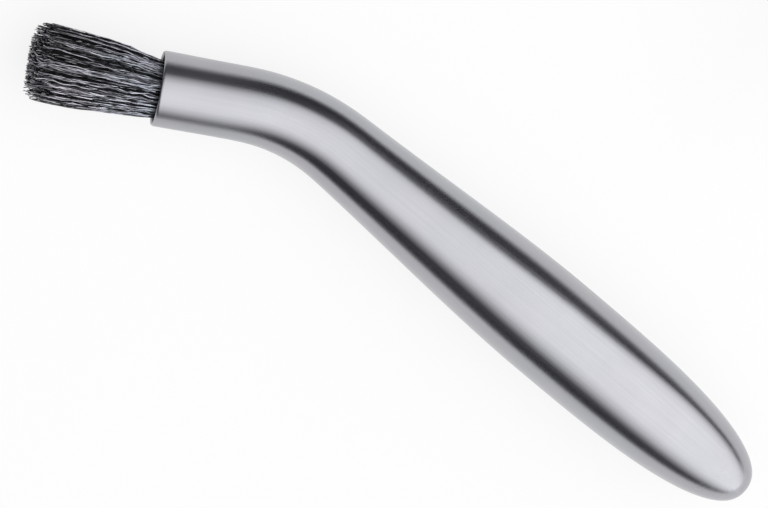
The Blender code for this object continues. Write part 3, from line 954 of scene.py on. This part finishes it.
studio = {
    "boardFar": (0.04, 0.20),  # where its light begins to fall and where it ends
    "boardMiddle": 0.03,
    "boardSlant": 0.75,  # how much farther that is to the left and the right of the middle
    "boardNear": 0.4,
    "boardSide": 1.2,
    "boardColour": (0.93, 0.93, 0.935, 1),
    "boardShade": 0.985,  # the share of the colour left in its darker patches
    "boardPatch": 60 * mm,
    "boardRoughness": 0.85,
    "boardSpecular": 0.2,
    "whiteShare": 0.82,
    "floorSize": 8,
    "floorColour": (0.030, 0.027, 0.034, 1),
    "roomColour": (0.030, 0.027, 0.034, 1),
    "lampHeight": 1.6,
    "lampTurn": math.radians(62.4),
    "lampLevel": 1.62,
    # The softbox, in lamp heights: its bounds, then for two sides the place, the width over
    # which it fades and how fast that widens, and for two where it is dark and where full
    "lampBounds": (-3.0, 8.9, -12.7, 2.7),
    "farSide": (0.653, 0.08, 1.616),
    "farPivot": 1.23,
    "leftSide": (-0.892, 1.11, 0.58),
    "leftLeast": 0.05,
    "rightSide": (8.85, 1.01),
    "nearSide": (-12.7, -6.3),
    "cardTurn": math.radians(4),
    "cardDistance": 1.3,
    "cardSize": (2.4, 0.22),
    "cardSides": (0.5, 0.15),  # how far from its middle, in widths, it is dark and where full
    "cardLevel": 0.95,
}


def placed(point, axes):
    # An object's matrix, from its place and its three axes.
    return Matrix.Translation(point) @ Matrix(np.stack(axes, -1).tolist()).to_4x4()


def makeFloor():
    # A pale board with a very slight unevenness, and a dark floor round it. Towards its far side,
    # and farther out to its left and right, the board's colour fades smoothly into the floor's: a
    # painted fall-off of the light. What looks at the board, straight or in a reflection, sees a
    # share of plain white besides the lit surface, so its shadows are faint. The camera alone sees
    # the floor round it as plain white too.
    material, tree, shader = newMaterial(
        "pale board", Specular_IOR_Level=studio["boardSpecular"],
        Roughness=studio["boardRoughness"])
    place = objectPlace(tree)
    across, along, _ = splitAxes(tree, place)
    slant = calculate(tree, "ABSOLUTE", calculate(tree, "SUBTRACT", across, studio["boardMiddle"]))
    slanted = calculate(tree, "SUBTRACT", along, multiply(tree, slant, studio["boardSlant"]))
    # Painted fall-off of the light: the board's colour fades out towards its far side.
    full, dark = studio["boardFar"]
    farLightFalloff = fade(tree, slanted, dark, full)
    pastNear = calculate(tree, "GREATER_THAN", along, -studio["boardNear"])
    inside = calculate(tree, "LESS_THAN", calculate(tree, "ABSOLUTE", across), studio["boardSide"])
    onBoard = multiply(tree, farLightFalloff, pastNear, inside)
    pale = studio["boardColour"]
    shaded = (*(part * studio["boardShade"] for part in pale[:3]), 1)
    board = mixColours(tree, drawClouds(tree, place, studio["boardPatch"]), pale, shaded)
    feed(tree, mixColours(tree, onBoard, studio["floorColour"], board), shader.inputs["Base Color"])
    sight = addNode(tree, "ShaderNodeLightPath").outputs
    mirrored = calculate(tree, "MAXIMUM", sight["Is Glossy Ray"], sight["Is Transmission Ray"])
    mirrored = multiply(tree, mirrored, onBoard, studio["whiteShare"])
    direct = remap(tree, onBoard, 0.0, 1.0, 1.0, studio["whiteShare"])
    direct = multiply(tree, sight["Is Camera Ray"], direct)
    white = addNode(tree, "ShaderNodeEmission")
    mixed = addNode(tree, "ShaderNodeMixShader")
    feed(tree, calculate(tree, "MAXIMUM", direct, mirrored), mixed.inputs[0])
    feed(tree, shader.outputs[0], mixed.inputs[1])
    feed(tree, white.outputs[0], mixed.inputs[2])
    feed(tree, mixed.outputs[0], tree.nodes["Material Output"].inputs["Surface"])
    half = studio["floorSize"] / 2
    corners = [(-half, -half, 0), (half, -half, 0), (half, half, 0), (-half, half, 0)]
    mesh = bpy.data.meshes.new("floor")
    mesh.from_pydata(corners, [], [(0, 1, 2, 3)])
    mesh.materials.append(material)
    floor = addObject("floor", mesh)


def makeAreaLight(name, width, height, level, matrix):
    # A rectangle of light that the camera doesn't see. It gives its node tree and the place on the
    # rectangle, from 0 to 1 each way.
    light = bpy.data.lights.new(name, "AREA")
    light.shape = "RECTANGLE"
    light.size = width
    light.size_y = height
    light.energy = level * math.pi * width * height
    light.use_nodes = True
    lamp = addObject(name, light)
    lamp.matrix_world = matrix
    lamp.visible_camera = False
    tree = light.node_tree
    place = splitAxes(tree, addNode(tree, "ShaderNodeNewGeometry").outputs["Parametric"])
    return tree, place


def makeLamp():
    # One large softbox whose sides fade out. Its far side fades over a wider band towards the
    # left, and its left side over a wider band towards the near end.
    height = studio["lampHeight"]
    left, right, near, far = studio["lampBounds"]
    middle = Matrix.Translation(((left + right) / 2 * height, (near + far) / 2 * height, height))
    tree, place = makeAreaLight(
        "softbox", (right - left) * height, (far - near) * height, studio["lampLevel"],
        Matrix.Rotation(studio["lampTurn"], 4, "Z") @ middle)
    across = remap(tree, place[0], 0.0, 1.0, left, right)
    along = remap(tree, place[1], 0.0, 1.0, near, far)

    def bandAround(side, spread):
        return (calculate(tree, operation, side, spread) for operation in ("SUBTRACT", "ADD"))

    side, width, widening = studio["farSide"]
    spread = multiply(tree, calculate(tree, "SUBTRACT", studio["farPivot"], across), widening / 2)
    full, dark = bandAround(side, calculate(tree, "MAXIMUM", spread, width / 2))
    farLit = fade(tree, along, dark, full)
    side, width, widening = studio["leftSide"]
    spread = calculate(tree, "ADD", multiply(tree, along, -widening / 2), width / 2)
    dark, full = bandAround(side, calculate(tree, "MAXIMUM", spread, studio["leftLeast"]))
    leftLit = fade(tree, across, dark, full)
    rightLit = fade(tree, across, *studio["rightSide"])
    nearLit = fade(tree, along, *studio["nearSide"])
    lit = multiply(tree, farLit, leftLit, rightLit, nearLit)
    feed(tree, lit, tree.nodes["Emission"].inputs["Strength"])


def makeCard():
    # A pale card stands on the floor beyond the butt, whose end would mirror the dark room.
    width, height = studio["cardSize"]
    away = np.array([math.cos(studio["cardTurn"]), math.sin(studio["cardTurn"]), 0])
    high = np.array([0, 0, 1])
    middle = away * studio["cardDistance"] + high * height / 2
    tree, place = makeAreaLight(
        "card", width, height, studio["cardLevel"],
        placed(middle, [np.cross(high, away), high, away]))
    aside = calculate(tree, "ABSOLUTE", calculate(tree, "SUBTRACT", place[0], 0.5))
    feed(tree, fade(tree, aside, *studio["cardSides"]), tree.nodes["Emission"].inputs["Strength"])


def makeRoom():
    # A dark room, the same all round.
    world = bpy.data.worlds.new("room")
    bpy.context.scene.world = world
    world.use_nodes = True
    world.node_tree.nodes["Background"].inputs["Color"].default_value = studio["roomColour"]


camera = {
    "target": (20.425 * mm, -10.936 * mm, 0),
    "distance": 850 * mm,
    "tilt": math.radians(8.8735),
    "tiltTowards": math.radians(29.563),
    "roll": math.radians(39.989),
    "lens": 189.40,
    "sensor": 36,
    "clip": (0.01, 50),
}


def makeCamera():
    # It looks almost straight down at the brush, from a little towards the tuft's side.
    turn = camera["tiltTowards"]
    lean = np.array([-math.cos(turn), -math.sin(turn), 0])
    back = math.cos(camera["tilt"]) * np.array([0, 0, 1]) + math.sin(camera["tilt"]) * lean
    flatRight = unit(np.array([1, 0, 0]) - back * back[0])
    flatUp = np.cross(back, flatRight)
    right = math.cos(camera["roll"]) * flatRight + math.sin(camera["roll"]) * flatUp
    up = np.cross(back, right)
    place = laid(np.array(camera["target"]) + camera["distance"] * back)
    lens = bpy.data.cameras.new("camera")
    lens.lens = camera["lens"]
    lens.sensor_width = camera["sensor"]
    lens.clip_start, lens.clip_end = camera["clip"]
    seen = addObject("camera", lens)
    seen.matrix_world = placed(place, [toTable @ axis for axis in (right, up, back)])
    bpy.context.scene.camera = seen


makeFloor()
makeLamp()
makeCard()
makeRoom()
makeCamera()
bpy.context.scene.view_settings.view_transform = "Standard"
print("floor, lights and camera set")
